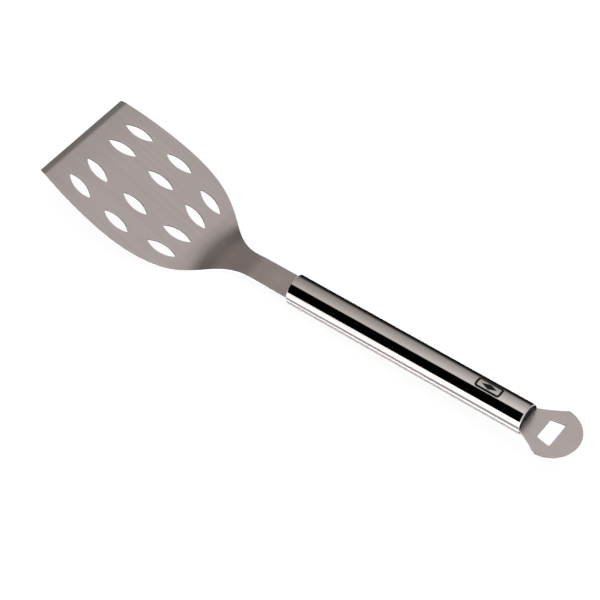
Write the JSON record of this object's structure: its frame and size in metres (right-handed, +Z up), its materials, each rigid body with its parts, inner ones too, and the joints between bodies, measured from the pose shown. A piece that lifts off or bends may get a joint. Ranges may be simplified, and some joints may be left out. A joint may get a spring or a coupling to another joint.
{
  "type": "grill spatula",
  "caption": "Slotted flat-headed grill turner with a bent neck, a round tube handle and a hanging tab with a bottle-opener hole.",
  "frame": {"origin": "middle of the footprint, on the table that the tool lies on, touching it with the heel of its bend and the lower front rim of its tube", "axes": "+X along the tool from the front edge to the hanging tab, +Z up, Y is the mirror direction"},
  "size_m": [0.4698, 0.109, 0.0414],
  "materials": {
    "brushed_blade": "fine brushed along its length",
    "polished_tube": "polished stainless steel",
    "plug_plastic": "matte black",
    "brushed_tab": "fine brushed"
  },
  "bodies": {
    "root": {"blade": "brushed_blade", "handle_tube": "polished_tube", "front_plug": "plug_plastic", "rear_plug": "plug_plastic", "opener_tab": "brushed_tab"}
  },
  "joints": []
}
